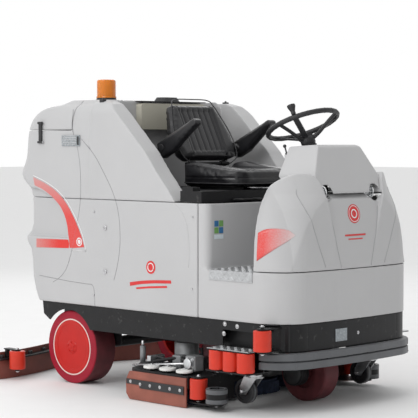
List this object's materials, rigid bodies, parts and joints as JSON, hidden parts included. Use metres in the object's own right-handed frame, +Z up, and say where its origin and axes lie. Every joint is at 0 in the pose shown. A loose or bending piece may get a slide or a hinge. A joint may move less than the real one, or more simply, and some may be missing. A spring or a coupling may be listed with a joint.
{
  "type": "ride-on floor scrubber-dryer",
  "caption": "Large ride-on scrubber-dryer: moulded tanks, driver's seat and wheel, steered drive wheel, lifting brush deck and bowed rear squeegee.",
  "frame": {"origin": "on the floor under the middle of the overall length, on the centre plane", "axes": "+X forward, +Y to the driver's left, +Z up"},
  "size_m": [2.22, 1.4, 1.663],
  "materials": {
    "chassis_black": "satin",
    "body_grey": "satin",
    "cover_white": "satin",
    "dark_plastic": "matte",
    "bumper_grey": "matte",
    "hub_red": "gloss",
    "tyre_red": "matte",
    "roller_red": "satin",
    "tread_aluminium": "brushed",
    "bright_steel": "brushed",
    "motor_grey": "satin",
    "seat_vinyl": "satin",
    "lamp_clear": "clear",
    "beacon_orange": "clear",
    "reflector": "mirror",
    "skirt_rubber": "matte",
    "blade_rubber": "matte",
    "stop_red": "gloss",
    "bristle": "matte",
    "battery_case": "matte"
  },
  "bodies": {
    "machine": {"chassis_frame": "chassis_black", "bumper_plate": "chassis_black", "bumper_rubber": "bumper_grey", "lower_front_body": "body_grey", "front_fenders": "body_grey", "column_shroud": "body_grey", "headlights": "lamp_clear", "solution_tank": "body_grey", "recovery_tank": "body_grey", "inspection_cover": "cover_white", "filter_cap": "dark_plastic", "battery_pack": "battery_case", "vacuum_motors": "motor_grey", "tread_plates": "tread_aluminium", "body_fixings": "bright_steel", "steering_column": "chassis_black", "dash_panel": "dark_plastic", "guide_rollers": "roller_red", "beacon_base": "dark_plastic", "beacon_lens": "beacon_orange"},
    "beacon_reflector": {"beacon_reflector": "reflector"},
    "tank_lid": {"tank_lid": "body_grey"},
    "lid_strap_right": {"lid_strap_right": "dark_plastic"},
    "lid_strap_left": {"lid_strap_left": "dark_plastic"},
    "seat_deck": {"seat_deck": "chassis_black"},
    "seat_base": {"seat_frame": "chassis_black", "seat_cushion": "seat_vinyl"},
    "seat_back": {"seat_back": "seat_vinyl"},
    "armrest_right": {"armrest_right": "seat_vinyl"},
    "armrest_left": {"armrest_left": "seat_vinyl"},
    "steering_wheel": {"steering_wheel": "dark_plastic"},
    "spinner_knob": {"spinner_knob": "dark_plastic"},
    "accelerator_pedal": {"accelerator_pedal": "chassis_black"},
    "brake_pedal": {"brake_pedal": "chassis_black"},
    "drive_lever": {"drive_lever": "bright_steel"},
    "stop_button": {"stop_button": "stop_red"},
    "drive_fork": {"drive_fork": "chassis_black"},
    "drive_wheel": {"drive_hub": "hub_red", "drive_tyre": "tyre_red"},
    "deck": {"deck_housing": "chassis_black", "deck_skirts": "skirt_rubber"},
    "deck_arms": {"deck_arms": "chassis_black"},
    "squeegee_arm": {"squeegee_arm": "chassis_black"},
    "squeegee": {"squeegee_body": "hub_red", "squeegee_blades": "blade_rubber"},
    "rear_wheel_right": {"rear_hub_right": "hub_red", "rear_tyre_right": "tyre_red"},
    "caster_fork_right": {"caster_fork_right": "bright_steel"},
    "caster_wheel_right": {"caster_wheel_right": "dark_plastic"},
    "rear_wheel_left": {"rear_hub_left": "hub_red", "rear_tyre_left": "tyre_red"},
    "caster_fork_left": {"caster_fork_left": "bright_steel"},
    "caster_wheel_left": {"caster_wheel_left": "dark_plastic"},
    "brush_right": {"brush_right": "bristle"},
    "brush_centre": {"brush_centre": "bristle"},
    "brush_left": {"brush_left": "bristle"},
    "deck_roller_right": {"deck_roller_right": "roller_red"},
    "deck_roller_left": {"deck_roller_left": "roller_red"},
    "squeegee_roller_right": {"squeegee_roller_right": "roller_red"},
    "squeegee_roller_left": {"squeegee_roller_left": "roller_red"}
  },
  "joints": [
    {"name": "beacon_turn", "type": "hinge", "parent": "machine", "child": "beacon_reflector", "pos_m": [-0.3905, -0.34, 1.575], "axis": [0, 0, 1], "continuous": true},
    {"name": "lid_open", "type": "hinge", "parent": "machine", "child": "tank_lid", "pos_m": [-0.467, 0, 1.551], "axis": [0, 1, 0], "range_deg": [0, 70]},
    {"name": "lid_strap_right_swing", "type": "hinge", "parent": "machine", "child": "lid_strap_right", "pos_m": [-0.7195, -0.5345, 1.322], "axis": [1, 0, 0], "range_deg": [0, 100]},
    {"name": "lid_strap_left_swing", "type": "hinge", "parent": "machine", "child": "lid_strap_left", "pos_m": [-0.7195, 0.5345, 1.322], "axis": [-1, 0, 0], "range_deg": [0, 100]},
    {"name": "seat_deck_tip", "type": "hinge", "parent": "machine", "child": "seat_deck", "pos_m": [0.5225, 0, 1.028], "axis": [0, 1, 0], "range_deg": [0, 50]},
    {"name": "seat_slide", "type": "slide", "parent": "seat_deck", "child": "seat_base", "axis": [1, 0, 0], "range_m": [-0.03, 0.09]},
    {"name": "backrest_recline", "type": "hinge", "parent": "seat_base", "child": "seat_back", "pos_m": [0.0505, 0, 1.206], "axis": [0, 1, 0], "range_deg": [-5, 10]},
    {"name": "armrest_right_lift", "type": "hinge", "parent": "seat_back", "child": "armrest_right", "pos_m": [0.0165, -0.29, 1.292], "axis": [0, -1, 0], "range_deg": [-26, 75]},
    {"name": "armrest_left_lift", "type": "hinge", "parent": "seat_back", "child": "armrest_left", "pos_m": [0.0165, 0.29, 1.292], "axis": [0, -1, 0], "range_deg": [-26, 75]},
    {"name": "steer", "type": "hinge", "parent": "machine", "child": "drive_fork", "pos_m": [0.7845, 0, 0.34], "axis": [0, 0, 1], "range_deg": [-70, 70]},
    {"name": "steering_wheel_turn", "type": "hinge", "parent": "machine", "child": "steering_wheel", "pos_m": [0.7315, 0, 1.412], "axis": [-0.3907, 0, 0.9205], "range_deg": [-350, 350]},
    {"name": "spinner_knob_turn", "type": "hinge", "parent": "steering_wheel", "child": "spinner_knob", "pos_m": [0.81619, -0.15935, 1.44795], "axis": [-0.3907, 0, 0.9205], "continuous": true},
    {"name": "drive_wheel_roll", "type": "hinge", "parent": "drive_fork", "child": "drive_wheel", "pos_m": [0.7845, 0, 0.15], "axis": [0, 1, 0], "continuous": true},
    {"name": "accelerator_press", "type": "hinge", "parent": "machine", "child": "accelerator_pedal", "pos_m": [0.7505, -0.15, 0.704], "axis": [0, 1, 0], "range_deg": [0, 18], "stiffness_Nm_per_rad": 3, "springref_deg": -8.59},
    {"name": "brake_press", "type": "hinge", "parent": "machine", "child": "brake_pedal", "pos_m": [0.8425, 0.12, 0.94], "axis": [0, -1, 0], "range_deg": [0, 7], "stiffness_Nm_per_rad": 10, "springref_deg": -5.73},
    {"name": "drive_lever_tilt", "type": "hinge", "parent": "machine", "child": "drive_lever", "pos_m": [0.7745, -0.164, 1.246], "axis": [0, 1, 0], "range_deg": [-15, 15]},
    {"name": "stop_press", "type": "slide", "parent": "machine", "child": "stop_button", "axis": [1, 0, 0], "range_m": [0, 0.004], "stiffness_N_per_m": 500, "springref_m": -0.001},
    {"name": "rear_wheel_right_roll", "type": "hinge", "parent": "machine", "child": "rear_wheel_right", "pos_m": [-0.5155, -0.4145, 0.2], "axis": [0, 1, 0], "continuous": true},
    {"name": "caster_right_swivel", "type": "hinge", "parent": "machine", "child": "caster_fork_right", "pos_m": [0.8145, -0.45, 0.18], "axis": [0, 0, 1], "continuous": true},
    {"name": "caster_wheel_right_roll", "type": "hinge", "parent": "caster_fork_right", "child": "caster_wheel_right", "pos_m": [0.7565, -0.45, 0.094], "axis": [0, 1, 0], "continuous": true},
    {"name": "rear_wheel_left_roll", "type": "hinge", "parent": "machine", "child": "rear_wheel_left", "pos_m": [-0.5155, 0.4145, 0.2], "axis": [0, 1, 0], "continuous": true},
    {"name": "caster_left_swivel", "type": "hinge", "parent": "machine", "child": "caster_fork_left", "pos_m": [0.8145, 0.45, 0.18], "axis": [0, 0, 1], "continuous": true},
    {"name": "caster_wheel_left_roll", "type": "hinge", "parent": "caster_fork_left", "child": "caster_wheel_left", "pos_m": [0.7565, 0.45, 0.094], "axis": [0, 1, 0], "continuous": true},
    {"name": "deck_lift", "type": "slide", "parent": "machine", "child": "deck", "axis": [0, 0, 1], "range_m": [0, 0.06]},
    {"name": "deck_arms_raise", "type": "hinge", "parent": "machine", "child": "deck_arms", "pos_m": [-0.0855, 0, 0.352], "axis": [0, -1, 0], "range_deg": [0, 12.7]},
    {"name": "brush_right_spin", "type": "hinge", "parent": "deck", "child": "brush_right", "pos_m": [0.3025, -0.412, 0.06], "axis": [0, 0, 1], "continuous": true},
    {"name": "brush_centre_spin", "type": "hinge", "parent": "deck", "child": "brush_centre", "pos_m": [0.3025, 0, 0.06], "axis": [0, 0, 1], "continuous": true},
    {"name": "brush_left_spin", "type": "hinge", "parent": "deck", "child": "brush_left", "pos_m": [0.3025, 0.412, 0.06], "axis": [0, 0, 1], "continuous": true},
    {"name": "deck_roller_right_roll", "type": "hinge", "parent": "deck", "child": "deck_roller_right", "pos_m": [0.5745, -0.6, 0.101], "axis": [0, 0, 1], "continuous": true},
    {"name": "deck_roller_left_roll", "type": "hinge", "parent": "deck", "child": "deck_roller_left", "pos_m": [0.5745, 0.6, 0.101], "axis": [0, 0, 1], "continuous": true},
    {"name": "squeegee_raise", "type": "hinge", "parent": "machine", "child": "squeegee_arm", "pos_m": [-0.7405, 0, 0.3], "axis": [0, 1, 0], "range_deg": [0, 12]},
    {"name": "squeegee_swing", "type": "hinge", "parent": "squeegee_arm", "child": "squeegee", "pos_m": [-0.9705, 0, 0.13], "axis": [0, 0, 1], "range_deg": [-10, 10]},
    {"name": "squeegee_roller_right_roll", "type": "hinge", "parent": "squeegee", "child": "squeegee_roller_right", "pos_m": [-0.8335, -0.612, 0.11], "axis": [0, 0, 1], "continuous": true},
    {"name": "squeegee_roller_left_roll", "type": "hinge", "parent": "squeegee", "child": "squeegee_roller_left", "pos_m": [-0.8335, 0.612, 0.11], "axis": [0, 0, 1], "continuous": true}
  ],
  "couplings": [
    {"joint": "steering_wheel_turn", "follows": "steer", "ratio": 5},
    {"joint": "deck_arms_raise", "follows": "deck_lift", "rad_per_m": 3.67}
  ]
}
